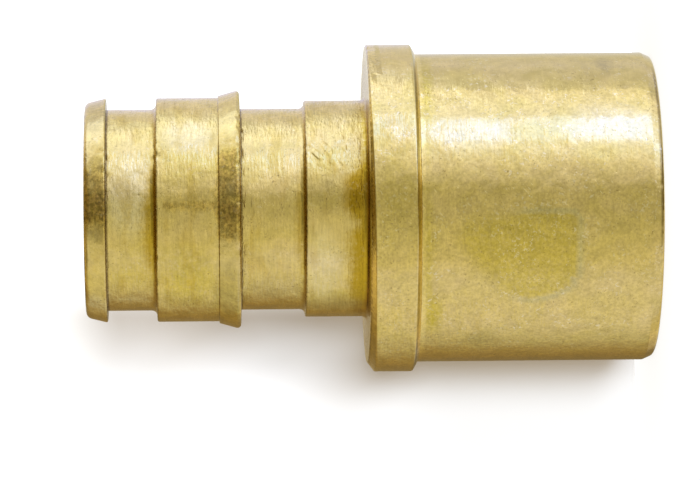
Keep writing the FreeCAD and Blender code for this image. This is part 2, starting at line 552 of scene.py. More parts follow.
painted_spots = [paint_at(spot) for spot in spots]
kinds = ["brown", "smudge", "yellowed", "golden_width", "foot_shade", "rubbed_and_highlight", "calm", "dark_end_reflection",
         "stain", "stain_rim", "tumbled", "chatter", "deep_golden", "inside"]
for name in kinds:
    layer = mesh.attributes.new(name, "FLOAT", "POINT")
    layer.data.foreach_set("value", [amounts.get(name, 0.0) for amounts in painted_spots])
    print("painted", name)

# %% [markdown]
# ## The brass finish
#
# Turned brass shows fine rings from the tool. Tumbling then dulls it to satin and covers it with tiny
# dents and scratches. All of that is relief, so it is made as relief: thin layers of bumps on a
# plain metal shader. The colour only changes a little, and mostly in the stains.
#
# The rings have to follow the turning on the lands and on the flat faces too. So the pattern is
# stretched along the height plus the radius, which changes across every turned face.

# %% Helpers for wiring a finish


def make_finish(name):
    """A new metal finish, and its shader."""
    finish = bpy.data.materials.new(name)
    finish.use_nodes = True
    return finish, finish.node_tree.nodes["Principled BSDF"]


def feed(finish, socket, source):
    """Join a source to a socket, or set the socket to a plain value."""
    if isinstance(source, bpy.types.NodeSocket):
        finish.node_tree.links.new(source, socket)
    else:
        socket.default_value = source


def reckon(finish, operation, first, second=0.0, third=0.0):
    """One step of arithmetic."""
    step = finish.node_tree.nodes.new("ShaderNodeMath")
    step.operation = operation
    for socket, source in zip(step.inputs, (first, second, third)):
        feed(finish, socket, source)
    return step.outputs[0]


def product(finish, first, second):
    """One amount times another."""
    return reckon(finish, "MULTIPLY", first, second)


def ease(finish, amount, start, end, low=0.0, high=1.0):
    """Turns a range of amounts into a smooth step."""
    step = finish.node_tree.nodes.new("ShaderNodeMapRange")
    step.interpolation_type = "SMOOTHSTEP"
    for socket_name, source in (("Value", amount), ("From Min", start), ("From Max", end),
                                ("To Min", low), ("To Max", high)):
        feed(finish, step.inputs[socket_name], source)
    return step.outputs["Result"]


def speckle(finish, place, scale, detail=2.0, roughness=0.5, distortion=0.0):
    """Soft random cloud, from 0 to 1, with its features about one over the scale in millimetres."""
    cloud = finish.node_tree.nodes.new("ShaderNodeTexNoise")
    feed(finish, cloud.inputs["Vector"], place)
    cloud.inputs["Scale"].default_value = scale
    cloud.inputs["Detail"].default_value = detail
    cloud.inputs["Roughness"].default_value = roughness
    cloud.inputs["Distortion"].default_value = distortion
    return cloud.outputs["Fac"]


def stretched(finish, place, stretch, shift=(0.0, 0.0, 0.0)):
    """The place, stretched and moved, so that a pattern runs one way."""
    step = finish.node_tree.nodes.new("ShaderNodeVectorMath")
    step.operation = "MULTIPLY_ADD"
    feed(finish, step.inputs[0], place)
    step.inputs[1].default_value = stretch
    step.inputs[2].default_value = shift
    return step.outputs["Vector"]


def painted_amount(finish, name):
    """What was painted on the vertices."""
    step = finish.node_tree.nodes.new("ShaderNodeAttribute")
    step.attribute_name = name
    return step.outputs["Fac"]


def blend_colours(finish, amount, first, second):
    """Goes from the first colour to the second as the amount goes from 0 to 1."""
    step = finish.node_tree.nodes.new("ShaderNodeMix")
    step.data_type = "RGBA"
    for socket, source in zip((step.inputs[0], step.inputs[6], step.inputs[7]), (amount, first, second)):
        feed(finish, socket, source)
    return step.outputs[2]


# %% Places on the brass, in millimetres
brass, shader = make_finish("turned_and_tumbled_brass")
spot_node = brass.node_tree.nodes.new("ShaderNodeTexCoord")
in_mm = stretched(brass, spot_node.outputs["Object"], (1000.0, 1000.0, 1000.0))
split = brass.node_tree.nodes.new("ShaderNodeSeparateXYZ")
feed(brass, split.inputs[0], in_mm)
along_x, along_y, height_mm = split.outputs
radius_squared = reckon(brass, "ADD", product(brass, along_x, along_x), product(brass, along_y, along_y))
radius_mm = reckon(brass, "SQRT", radius_squared)
RADIUS_SHARE = 1.7
across_rings = reckon(brass, "MULTIPLY_ADD", radius_mm, RADIUS_SHARE, height_mm)
join = brass.node_tree.nodes.new("ShaderNodeCombineXYZ")
for socket, source in zip(join.inputs, (along_x, along_y, across_rings)):
    feed(brass, socket, source)
on_rings = join.outputs[0]

# %% Turning rings
fine_rings = speckle(brass, stretched(brass, on_rings, (0.30, 0.30, 7.0)), 1.0, 3.0, 0.6)
short_rings = speckle(brass, stretched(brass, on_rings, (1.5, 1.5, 6.0), (7.0, 3.0, 1.0)), 1.0, 2.0, 0.55)

# %% Tumbling dents, grain and chatter
grain = speckle(brass, in_mm, 4.5, 2.0, 0.6)
small_dents = speckle(brass, in_mm, 2.2, 2.0, 0.55, 0.6)
middle_dents = speckle(brass, in_mm, 1.1, 1.0, 0.5, 0.5)
soft_waves = speckle(brass, in_mm, 0.5, 1.0, 0.5)
on_slant = brass.node_tree.nodes.new("ShaderNodeVectorRotate")
on_slant.rotation_type = "Y_AXIS"
on_slant.inputs["Angle"].default_value = math.radians(45)
feed(brass, on_slant.inputs["Vector"], in_mm)
slanting = speckle(brass, stretched(brass, on_slant.outputs["Vector"], (1.5, 0.8, 2.3)), 1.0, 0.0)

# %% Nicks and pits
nicks = 0.0
for lean, seed in ((0.55, 3.0), (-0.8, 11.0)):
    leaned = reckon(brass, "MULTIPLY_ADD", along_x, lean, height_mm)
    lane = brass.node_tree.nodes.new("ShaderNodeCombineXYZ")
    feed(brass, lane.inputs[0], product(brass, along_x, 2.4))
    feed(brass, lane.inputs[1], reckon(brass, "MULTIPLY_ADD", along_y, 2.4, seed))
    feed(brass, lane.inputs[2], product(brass, leaned, 11.0))
    cuts = ease(brass, speckle(brass, lane.outputs[0], 1.0, 1.0, 0.5), 0.72, 0.80)
    nicks = reckon(brass, "MAXIMUM", cuts, nicks)
pit_cells = brass.node_tree.nodes.new("ShaderNodeTexVoronoi")
feed(brass, pit_cells.inputs["Vector"], in_mm)
pit_cells.inputs["Scale"].default_value = 1.5
pit_cells.inputs["Randomness"].default_value = 1.0
pits = ease(brass, pit_cells.outputs["Distance"], 0.12, 0.04)

# %% Painted glints and painted shade in pits
UNSTRETCHED = (1.0, 1.0, 1.0)
# Pale flecks are painted glints, where tiny dents would catch the bright side.
glint_cloud = speckle(brass, in_mm, 0.6, 2.0, 0.5)
glint_spots = speckle(brass, stretched(brass, in_mm, UNSTRETCHED, (3.3, 7.7, 1.9)), 4.2, 2.0, 0.5, 1.0)
painted_glints = product(brass, ease(brass, glint_spots, 0.58, 0.70), ease(brass, glint_cloud, 0.42, 0.62))
# Dark specks are painted shade in tiny pits.
pit_shade_spots = speckle(brass, stretched(brass, in_mm, UNSTRETCHED, (9.1, 2.3, 6.7)), 6.5, 1.0, 0.5, 0.5)
pit_shade_cloud = speckle(brass, stretched(brass, in_mm, UNSTRETCHED, (4.4, 8.2, 1.1)), 0.7, 2.0, 0.5)
pit_shade_specks = product(brass, ease(brass, pit_shade_spots, 0.64, 0.72), ease(brass, pit_shade_cloud, 0.44, 0.60))

# %% How deep each kind of relief is, as a share
tumbled = painted_amount(brass, "tumbled")
ring_depth = ease(brass, tumbled, 0.0, 1.0, 1.0, 0.25)
dent_depth = ease(brass, tumbled, 0.0, 1.0, 0.8, 0.62)
calm = ease(brass, painted_amount(brass, "calm"), 0.0, 1.0, 1.0, 0.25)
untouched = ease(brass, painted_amount(brass, "inside"), 0.0, 1.0, 1.0, 0.15)
ring_depth = product(brass, ring_depth, calm)
dent_depth = product(brass, dent_depth, product(brass, calm, untouched))
wave_depth = product(brass, ease(brass, tumbled, 0.0, 1.0, 1.0, 0.58), calm)
wave_depth = product(brass, wave_depth, untouched)

# %% Stack the relief, with depths in millimetres
FINE_RINGS = 0.010
SHORT_RINGS = 0.034
SMALL_DENTS = 0.014
MIDDLE_DENTS = 0.034
SOFT_WAVES = 0.085
CHATTER = 0.050
NICKS = 0.006
PITS = 0.006


def raised(finish, relief, depth_mm, below=None):
    """One layer of relief laid over the layer below it."""
    step = finish.node_tree.nodes.new("ShaderNodeBump")
    step.inputs["Strength"].default_value = 1.0
    step.inputs["Distance"].default_value = depth_mm * MM
    feed(finish, step.inputs["Height"], relief)
    if below is not None:
        feed(finish, step.inputs["Normal"], below)
    return step.outputs["Normal"]


relief = raised(brass, product(brass, fine_rings, ring_depth), FINE_RINGS)
relief = raised(brass, product(brass, short_rings, ring_depth), SHORT_RINGS, relief)
relief = raised(brass, product(brass, small_dents, dent_depth), SMALL_DENTS, relief)
relief = raised(brass, product(brass, middle_dents, dent_depth), MIDDLE_DENTS, relief)
relief = raised(brass, product(brass, soft_waves, wave_depth), SOFT_WAVES, relief)
chatter_height = product(brass, ease(brass, slanting, 0.30, 0.70), painted_amount(brass, "chatter"))
relief = raised(brass, chatter_height, CHATTER, relief)
relief = raised(brass, reckon(brass, "SUBTRACT", 0.0, nicks), NICKS, relief)
relief = raised(brass, reckon(brass, "SUBTRACT", 0.0, pits), PITS, relief)
feed(brass, shader.inputs["Normal"], relief)
print("deepest relief", SOFT_WAVES, "mm")

# %% [markdown]
# ## Colour and gloss of the brass
#
# Clean brass reflects most of the red and green and little of the blue. Thin tarnish takes more of
# the blue and green, so it looks golden, and thick tarnish is brown and dull. The corners are golden,
# deepest beside the collar in front: partly tarnish that the barrel's stones can't reach, and partly a
# painted reflection of the next brass face. Dirt and painted shade make a dark line in the corners under
# the barb and under the tip rib, and painted dark reflections lie on the rounded edges that face the
# insert's end. Pale flecks are painted glints of tiny dents, and dark specks are painted shade in tiny
# pits.

# %% Colours and the clouds that break them up
GOLDEN_SWING = 0.55
CLEAN_BRASS = (0.82, 0.615, 0.195, 1.0)
OLIVE_BRASS = (0.735, 0.56, 0.122, 1.0)
GOLDEN_BRASS = (0.52, 0.330, 0.014, 1.0)
DEEP_GOLDEN = (0.41, 0.245, 0.010, 1.0)
YELLOWED_BRASS = (0.66, 0.50, 0.060, 1.0)
STAINED_BRASS = (0.67, 0.505, 0.080, 1.0)
BRONZE = (0.60, 0.41, 0.060, 1.0)
DARK_BROWN = (0.17, 0.10, 0.022, 1.0)
DULL_FILM = (0.56, 0.43, 0.130, 1.0)
GREY_RIM = (0.63, 0.52, 0.170, 1.0)
GLINT_COLOUR = (0.96, 0.82, 0.420, 1.0)
# Rubbed metal, and the colour of the stub's painted highlight
RUBBED_AND_HIGHLIGHT_BRASS = (0.95, 0.81, 0.370, 1.0)
FOOT_SHADE = (0.36, 0.265, 0.028, 1.0)
BROWN = (0.37, 0.235, 0.048, 1.0)

cloudy = speckle(brass, in_mm, 0.40, 4.0, 0.62, 0.5)
streaky = speckle(brass, stretched(brass, on_rings, (0.45, 0.45, 6.5), (5.0, 2.0, 8.0)), 1.0, 3.0, 0.65)
mottled = speckle(brass, in_mm, 3.4, 3.0, 0.70)


def golden_corner(finish, height, root, reach, strength, fade):
    """Golden just above a corner, fading with height over a share of its reach."""
    unrest = reckon(finish, "ADD", streaky, mottled)
    swing = GOLDEN_SWING * reach
    ragged = reckon(finish, "MULTIPLY_ADD", reckon(finish, "SUBTRACT", unrest, 1.0), swing, height)
    ragged = reckon(finish, "MULTIPLY_ADD", painted_amount(finish, "golden_width"), -swing, ragged)
    fading = ease(finish, ragged, root + swing, root + (GOLDEN_SWING - fade) * reach, 0.0, strength)
    return product(finish, fading, ease(finish, height, root - 0.03, root))


# Dirt and painted shade: dark just under a shoulder, in a corner or on a rounded edge.
def dirt_and_shade_line(finish, height, shoulder, width):
    """Dark just under a shoulder."""
    below = ease(finish, height, shoulder - width, shoulder - 0.4 * width)
    return product(finish, below, ease(finish, height, shoulder + 0.02, shoulder + 0.01))


# %% Where the golden corners and the lines of dirt and painted shade are
def band(finish, height, foot_edge, top_edge):
    """A ring between two heights, with its two edges softened."""
    above_foot = ease(finish, height, *foot_edge)
    return product(finish, above_foot, ease(finish, height, *reversed(top_edge)))


insert_side = ease(brass, radius_mm, 11.0, 10.0)
# Golden beside the corners: tarnish, and a painted reflection of the next brass face.
beside_collar = golden_corner(brass, height_mm, COLLAR_TOP, 2.05, 0.97, 0.60)
golden = product(brass, beside_collar, insert_side)
golden = reckon(brass, "MAXIMUM", golden, golden_corner(brass, height_mm, SEAT_TOP, 0.95, 0.65, 0.8))
golden = reckon(brass, "MAXIMUM", golden, golden_corner(brass, height_mm, MIDDLE_TOP, 1.25, 0.90, 0.8))
golden_cloud = speckle(brass, stretched(brass, on_rings, (0.35, 0.35, 1.1), (2.0, 6.0, 3.0)), 1.0, 2.0, 0.5)
golden_patches = product(brass, ease(brass, golden_cloud, 0.50, 0.68, 0.0, 0.30),
                         ease(brass, tumbled, 0.0, 1.0, 1.0, 0.20))
golden = reckon(brass, "MAXIMUM", golden, golden_patches)
# Dirt and painted shade in the corners under the barb and under the tip rib.
dirt_and_shade = dirt_and_shade_line(brass, height_mm, BARB_FOOT, 0.16)
dirt_and_shade = reckon(brass, "MAXIMUM", dirt_and_shade, dirt_and_shade_line(brass, height_mm, TIP_RIB_FOOT, 0.20))

# %% Lines round the collar's foot, the stub's end and the other edges: wear, painted shade and painted reflection
foot = band(brass, height_mm, (17.02, 17.08), (17.36, 17.42))
# Painted shade at the collar's foot.
foot_shade = band(brass, height_mm, (17.14, 17.20), (17.32, 17.38))
foot_shade = product(brass, foot_shade, painted_amount(brass, "foot_shade"))
# Painted dark reflection on the bevel at the stub's end, which faces down the axis.
end_dark_reflection = band(brass, height_mm, (0.05, 0.13), (0.20, 0.34))
end_dark_reflection = product(brass, end_dark_reflection, painted_amount(brass, "dark_end_reflection"))
bare_line = band(brass, height_mm, (16.66, 16.84), (17.00, 17.06))
# Painted dark reflections on the rounded edges that face the insert's end.
dark_edge_reflections = [
    # height of the edge, width of its line
    (MIDDLE_TOP, 0.16),
    (SEAT_TOP, 0.14),
    (COLLAR_TOP, 0.16),
    (INSERT_END, 0.12),
    (31.24, 0.08),
]
for edge, width in dark_edge_reflections:
    edge_reflection = dirt_and_shade_line(brass, height_mm, edge, width)
    edge_reflection = product(brass, edge_reflection, ease(brass, mottled, 0.35, 0.6, 0.0, 0.6))
    dirt_and_shade = reckon(brass, "MAXIMUM", dirt_and_shade, edge_reflection)
dirt_and_shade = product(brass, dirt_and_shade, ease(brass, mottled, 0.25, 0.55, 0.45, 0.85))
print(len(dark_edge_reflections) + 2, "edges with a line of dirt")


# %% Mix the clean, rubbed and golden brass
def toned(finish, colour, value):
    """A colour made lighter or darker."""
    step = finish.node_tree.nodes.new("ShaderNodeHueSaturation")
    feed(finish, step.inputs["Color"], colour)
    feed(finish, step.inputs["Value"], value)
    return step.outputs["Color"]


colour = blend_colours(brass, ease(brass, cloudy, 0.34, 0.66, 0.28, 0.72), CLEAN_BRASS, OLIVE_BRASS)
yellowed = painted_amount(brass, "yellowed")
yellowed = product(brass, yellowed, ease(brass, mottled, 0.3, 0.6, 0.3, 1.0))
colour = blend_colours(brass, yellowed, colour, YELLOWED_BRASS)
# Rubbed, paler metal, and the painted highlight patches on the stub.
rubbed_and_highlight = product(brass, painted_amount(brass, "rubbed_and_highlight"), ease(brass, mottled, 0.3, 0.6, 0.5, 1.0))
colour = blend_colours(brass, rubbed_and_highlight, colour, RUBBED_AND_HIGHLIGHT_BRASS)
# Golden corners: tarnish and a painted reflection of the next brass face.
colour = blend_colours(brass, golden, colour, GOLDEN_BRASS)
deep_golden = painted_amount(brass, "deep_golden")
deep_golden = product(brass, deep_golden, ease(brass, mottled, 0.25, 0.55, 0.5, 0.9))
colour = blend_colours(brass, deep_golden, colour, DEEP_GOLDEN)

# %% Lay the stain and the smudges over it
stain = product(brass, painted_amount(brass, "stain"), ease(brass, mottled, 0.35, 0.6, 0.50, 1.0))
colour = blend_colours(brass, stain, colour, STAINED_BRASS)
stain_rim_amount = product(brass, painted_amount(brass, "stain_rim"),
                           ease(brass, mottled, 0.25, 0.5, 0.3, 0.9))
colour = blend_colours(brass, stain_rim_amount, colour, GREY_RIM)
smudge = product(brass, painted_amount(brass, "smudge"), ease(brass, mottled, 0.2, 0.7, 0.4, 1.0))
colour = blend_colours(brass, smudge, colour, DULL_FILM)

# %% Lay the brown marks over it
brown_break = reckon(brass, "MULTIPLY_ADD", streaky, 0.40, product(brass, mottled, 0.30))
brown_break = reckon(brass, "MULTIPLY_ADD", short_rings, 0.30, brown_break)
brown_reach = reckon(brass, "SUBTRACT", 0.85, brown_break)
brown_reach = reckon(brass, "SUBTRACT", painted_amount(brass, "brown"), brown_reach)
brown = ease(brass, brown_reach, -0.04, 0.44)
darkest = product(brass, ease(brass, brown_break, 0.36, 0.58, 0.25, 0.95),
                  ease(brass, brown_reach, 0.12, 0.50))
brown_tone = blend_colours(brass, darkest, BRONZE, BROWN)
colour = blend_colours(brass, brown, colour, brown_tone)

# %% Draw the lines and the pits
FOOT_WEAR = 0.3
END_REFLECTION_STRENGTH = 0.62
PIT_SHADE_STRENGTH = 0.15
colour = blend_colours(brass, product(brass, foot, FOOT_WEAR), colour, RUBBED_AND_HIGHLIGHT_BRASS)
# Painted shade at the collar's foot.
colour = blend_colours(brass, foot_shade, colour, FOOT_SHADE)
# Painted dark reflection at the stub's end.
colour = blend_colours(brass, product(brass, end_dark_reflection, END_REFLECTION_STRENGTH), colour, DARK_BROWN)
# Dirt and painted shade under the shoulders, and painted dark reflections on the edges.
colour = blend_colours(brass, dirt_and_shade, colour, DARK_BROWN)
# Painted shade in the pits.
pit_shade = product(brass, pits, ease(brass, cloudy, 0.45, 0.6))
colour = blend_colours(brass, product(brass, pit_shade, PIT_SHADE_STRENGTH), colour, DARK_BROWN)

# %% Grain, streaks, painted glints and painted shade in pits
PIT_SHADE_SPECK_STRENGTH = 0.42
BARE_LINE_GAIN = 0.14
grain_low = ease(brass, tumbled, 0.0, 1.0, 0.93, 0.88)
grain_high = ease(brass, tumbled, 0.0, 1.0, 1.05, 1.10)
grain_tone = reckon(brass, "SUBTRACT", ease(brass, grain, 0.3, 0.7, grain_low, grain_high), 1.0)
colour = toned(brass, colour, reckon(brass, "MULTIPLY_ADD", grain_tone, calm, 1.0))
mark_tone = ease(brass, reckon(brass, "ADD", short_rings, grain), 0.80, 1.20, -0.34, 0.36)
colour = toned(brass, colour, reckon(brass, "MULTIPLY_ADD", mark_tone, brown, 1.0))
colour = toned(brass, colour, ease(brass, middle_dents, 0.3, 0.7, 0.94, 1.05))
streak_depth = ease(brass, tumbled, 0.0, 1.0, 0.42, 0.20)
streak_tone = reckon(brass, "MULTIPLY_ADD", reckon(brass, "SUBTRACT", streaky, 0.5), streak_depth, 1.0)
colour = toned(brass, colour, streak_tone)
# Painted glints, more on the tumbled stub and collar.
glint_share = ease(brass, tumbled, 0.0, 1.0, 0.20, 0.58)
colour = blend_colours(brass, product(brass, painted_glints, glint_share), colour, GLINT_COLOUR)
# Painted shade of tiny pits.
colour = blend_colours(brass, product(brass, pit_shade_specks, PIT_SHADE_SPECK_STRENGTH), colour, DARK_BROWN)
colour = toned(brass, colour, reckon(brass, "MULTIPLY_ADD", bare_line, BARE_LINE_GAIN, 1.0))
feed(brass, shader.inputs["Base Color"], colour)

# %% Gloss
satin = ease(brass, middle_dents, 0.3, 0.7, 0.11, 0.17)
satin = reckon(brass, "ADD", satin, ease(brass, tumbled, 0.0, 1.0, 0.05, 0.0))
satin = reckon(brass, "MULTIPLY_ADD", brown, 0.12, satin)
satin = reckon(brass, "MULTIPLY_ADD", painted_amount(brass, "inside"), 0.15, satin)
feed(brass, shader.inputs["Roughness"], satin)
shader.inputs["Metallic"].default_value = 1.0
mesh.materials.append(brass)
print("brass finish of", len(brass.node_tree.nodes), "steps")

# %% [markdown]
# ## The pale floor and the backdrop
#
# In the photograph the piece lies on a white table, and its soft warm shadow falls on that table just
# below it. Here the piece stands, so a white backdrop close behind it takes the table's place, and a
# white floor carries it. Their paint glows a little and warmly, so both meet the white surroundings
# and the shadow stays warm. The backdrop leans back above the collar, which makes the slim insert's
# shadow longer and softer than the stub's, and its upper side in the picture glows most, because the
# photograph shows no shadow there.
#
# The backdrop is clear from behind, so that the piece's back can be looked at too. Neither is shown in
# the metal: the tent below does that.

# %% Mix the white paints
def white_paint(name, shade):
    """White paint that is clear from behind, and its shader."""
    paint, paint_shader = make_finish(name)
    paint_shader.inputs["Base Color"].default_value = (shade, shade, shade, 1.0)
    paint_shader.inputs["Roughness"].default_value = 0.9
    paint_shader.inputs["Specular IOR Level"].default_value = 0.0
    paint_shader.inputs["Emission Strength"].default_value = 1.0
    clear = paint.node_tree.nodes.new("ShaderNodeBsdfTransparent")
    facing = paint.node_tree.nodes.new("ShaderNodeNewGeometry")
    one_sided = paint.node_tree.nodes.new("ShaderNodeMixShader")
    feed(paint, one_sided.inputs[0], facing.outputs["Backfacing"])
    feed(paint, one_sided.inputs[1], paint_shader.outputs[0])
    feed(paint, one_sided.inputs[2], clear.outputs[0])
    feed(paint, paint.node_tree.nodes["Material Output"].inputs["Surface"], one_sided.outputs[0])
    return paint, paint_shader


FLOOR_SHADE = 0.28
FLOOR_GLOW = (0.78, 0.775, 0.76, 1.0)
BACKDROP_SHADE = 0.25
floor_paint, floor_shader = white_paint("floor_paint", FLOOR_SHADE)
floor_shader.inputs["Emission Color"].default_value = FLOOR_GLOW
backdrop_paint, backdrop_shader = white_paint("backdrop_paint", BACKDROP_SHADE)

# %% Make the backdrop glow
# Lower in the picture is towards -X, and the insert is above the stub. Each change of glow starts and
# ends at the two places given, in metres.
STUB_GLOW = (0.18, 0.115, 0.035, 1.0)
MIDDLE_GLOW = (0.19, 0.13, 0.06, 1.0)
INSERT_GLOW = (0.38, 0.32, 0.25, 1.0)
TIP_GLOW = (0.66, 0.62, 0.56, 1.0)
FAR_GLOW = (0.46, 0.41, 0.35, 1.0)
WASH_GLOW = (0.95, 0.95, 0.95, 1.0)
UP_INSERT = (0.026, 0.036)
PAST_TIP = (0.0385, 0.0445)
NEAR_PIECE = (-0.0150, -0.0112)
PAST_COLLAR = (0.012, 0.030)
UPPER_SIDE = (-0.0085, -0.0050)
on_backdrop = backdrop_paint.node_tree.nodes.new("ShaderNodeTexCoord")
backdrop_place = backdrop_paint.node_tree.nodes.new("ShaderNodeSeparateXYZ")
feed(backdrop_paint, backdrop_place.inputs[0], on_backdrop.outputs["Object"])
across, _, above = backdrop_place.outputs
up_insert = ease(backdrop_paint, above, *UP_INSERT)
glow = blend_colours(backdrop_paint, up_insert, MIDDLE_GLOW, INSERT_GLOW)
past_tip = ease(backdrop_paint, above, *PAST_TIP)
glow = blend_colours(backdrop_paint, past_tip, glow, TIP_GLOW)
near_piece = ease(backdrop_paint, across, *NEAR_PIECE)
glow = blend_colours(backdrop_paint, near_piece, FAR_GLOW, glow)
past_collar = ease(backdrop_paint, above, *PAST_COLLAR)
glow = blend_colours(backdrop_paint, past_collar, STUB_GLOW, glow)
upper_side = ease(backdrop_paint, across, *UPPER_SIDE)
glow = blend_colours(backdrop_paint, upper_side, glow, WASH_GLOW)
feed(backdrop_paint, backdrop_shader.inputs["Emission Color"], glow)

# %% Lay the floor and hang the backdrop
FLOOR_HALF = 3.0
BACKDROP_BEHIND = 0.0125
BACKDROP_HALF = 0.60
BEND_START = 0.010
BEND_END = 0.028
BEND_STEPS = 12
BACKDROP_LEAN = 0.48


def sheet(name, edge, paint):
    """A painted sheet of the stage, as wide as it is long, through the points of one edge."""
    half = edge[0][0]
    corners = [(side * half, y, z) for side in (-1, 1) for _, y, z in edge]
    panels = [(step, step + len(edge), step + len(edge) + 1, step + 1) for step in range(len(edge) - 1)]
    sheet_mesh = bpy.data.meshes.new(name)
    sheet_mesh.from_pydata(corners, [], panels)
    sheet_mesh.shade_smooth()
    sheet_mesh.materials.append(paint)
    piece = bpy.data.objects.new(name, sheet_mesh)
    bpy.context.scene.collection.objects.link(piece)
    piece.visible_glossy = False
    return piece


floor = sheet("floor", [(FLOOR_HALF, -FLOOR_HALF, 0), (FLOOR_HALF, FLOOR_HALF, 0)], floor_paint)
backdrop_edge = [(BACKDROP_HALF, BACKDROP_BEHIND, 0.0), (BACKDROP_HALF, BACKDROP_BEHIND, BEND_START)]
bend_rise = (BEND_END - BEND_START) / BEND_STEPS
for step in range(BEND_STEPS):
    lean = BACKDROP_LEAN * smooth((step + 0.5) / BEND_STEPS)
    side, behind, up = backdrop_edge[-1]
    backdrop_edge.append((side, behind + lean * bend_rise, up + bend_rise))
leaned_back = backdrop_edge[-1][1] + BACKDROP_LEAN * (BACKDROP_HALF - BEND_END)
backdrop_edge.append((BACKDROP_HALF, leaned_back, BACKDROP_HALF))
backdrop = sheet("backdrop", backdrop_edge, backdrop_paint)
floor.visible_shadow = False
backdrop.visible_diffuse = False
backdrop.visible_shadow = False
print("floor", 2 * FLOOR_HALF, "m wide, backdrop", 2 * BACKDROP_HALF, "m wide")

# %% [markdown]
# ## The light tent
#
# Shiny metal shows what stands round it, so a photographer builds a tent of pale cloth round it. The
# cloth is brightest beside the piece, dimmer at the camera's opening, and brown and dark where the table
# lies in the piece's own shadow. Two rings of stops, each an angle, a brightness and a tint, make that
# tent: one is level with the stub and the other with the insert. The photograph's long gradients come
# from them. A black card hangs above the camera, which the sloping barb and tip rib show. The pale table
# shows low behind the stub's end, and two windows in the dim roof show in the collar's bevel.
#
# Angles are as on the brass: 0 faces the camera, 90 is +X and 180 is behind. The tent shows only in
# reflections. Behind the piece the white surroundings are seen.

# %% Tints and brightness of the tent's cloth
AMBER = (1.00, 0.74, 0.34)
WARM = (1.00, 0.82, 0.48)
SOFT_WARM = (1.00, 0.92, 0.80)
CLEAN = (1.00, 1.00, 1.00)
COOL = (1.00, 1.02, 1.42)
PALE_DAY = (1.00, 1.05, 1.60)
DAYLIGHT = (1.00, 1.13, 2.15)
CORE = (1.00, 1.28, 3.50)
beside_stub = [
    # angle, brightness, tint
    (-180, 0.36, WARM), (-172, 0.24, AMBER), (-158, 0.24, AMBER), (-146, 0.32, AMBER),
    (-134, 0.39, WARM), (-116, 0.61, CLEAN), (-98, 0.77, COOL), (-80, 0.82, COOL), (-56, 0.77, COOL),
    (-38, 0.69, CLEAN), (-20, 0.61, CLEAN), (-4, 0.52, CLEAN), (12, 0.51, CLEAN), (24, 0.74, COOL),
    (34, 0.98, PALE_DAY), (43, 1.16, DAYLIGHT), (50, 1.26, DAYLIGHT), (54, 1.31, CORE), (65, 1.31, CORE),
    (69, 1.14, DAYLIGHT), (98, 1.10, PALE_DAY), (101, 0.78, PALE_DAY), (116, 0.72, PALE_DAY),
    (130, 0.77, PALE_DAY), (146, 0.73, CLEAN), (168, 0.76, CLEAN), (176, 1.0, CLEAN), (180, 1.0, CLEAN),
]
beside_insert = [
    (-180, 0.50, WARM), (-174, 0.42, WARM), (-167, 0.29, AMBER), (-158, 0.28, AMBER), (-146, 0.31, AMBER),
    (-134, 0.36, AMBER), (-116, 0.50, SOFT_WARM), (-98, 0.69, CLEAN), (-80, 0.80, CLEAN), (-56, 0.80, COOL),
    (-38, 0.77, CLEAN), (-20, 0.72, CLEAN), (-4, 0.60, CLEAN), (12, 0.57, CLEAN), (24, 0.74, COOL),
    (36, 0.94, COOL), (48, 1.06, PALE_DAY), (60, 1.14, PALE_DAY), (76, 1.20, DAYLIGHT),
    (88, 1.42, DAYLIGHT), (102, 1.42, DAYLIGHT), (110, 1.20, DAYLIGHT), (118, 0.96, PALE_DAY),
    (130, 0.88, COOL), (146, 0.90, COOL), (168, 0.90, COOL), (176, 1.0, CLEAN), (180, 1.0, CLEAN),
]
ROOF = 0.30
LOW_WINDOW = 0.45
HIGH_WINDOW = 0.65
UNDERSIDE = 0.26
TABLE = 0.75
CARD_DEPTH = 0.45


def cloth_at(stops, angle):
    """Colour of one ring of the cloth at one angle round the piece."""
    for (start, low, low_tint), (end, high, high_tint) in zip(stops, stops[1:]):
        if start <= angle <= end:
            share = (angle - start) / (end - start)
            return [(low * first) * (1 - share) + (high * second) * share
                    for first, second in zip(low_tint, high_tint)]
    raise ValueError("the cloth goes from -180 to 180 degrees")


def cloth_colour(angle, lift):
    """Colour of the tent at an angle round the piece and a lift above level, both in degrees."""
    upper = smooth((lift + 2.8) / 3.6)
    low_ring = cloth_at(beside_stub, angle)
    high_ring = cloth_at(beside_insert, angle)
    colour = [low * (1 - upper) + high * upper for low, high in zip(low_ring, high_ring)]
    roof = smooth((lift - 38) / 25)
    low_window = LOW_WINDOW * sector(angle, -165, -125, 20) * smooth((74 - lift) / 10)
    high_window = HIGH_WINDOW * sector(angle, 125, 165, 20) * smooth((63 - lift) / 10)
    roof_tone = ROOF + low_window + high_window
    under = smooth((-lift - 58) / 14) * smooth((angle + 45) / 30)
    table = smooth((-lift - 14) / 16) * smooth((-angle - 100) / 30)
    card = CARD_DEPTH * sector(angle, -36, 52, 30) * smooth((lift - 12) / 12) * smooth((60 - lift) / 12)
    colour = [part + (roof_tone * warm - part) * roof for part, warm in zip(colour, WARM)]
    colour = [part + (UNDERSIDE * warm - part) * under for part, warm in zip(colour, WARM)]
    colour = [part + (TABLE * warm - part) * table for part, warm in zip(colour, SOFT_WARM)]
    return [part * (1 - card) for part in colour] + [1.0]


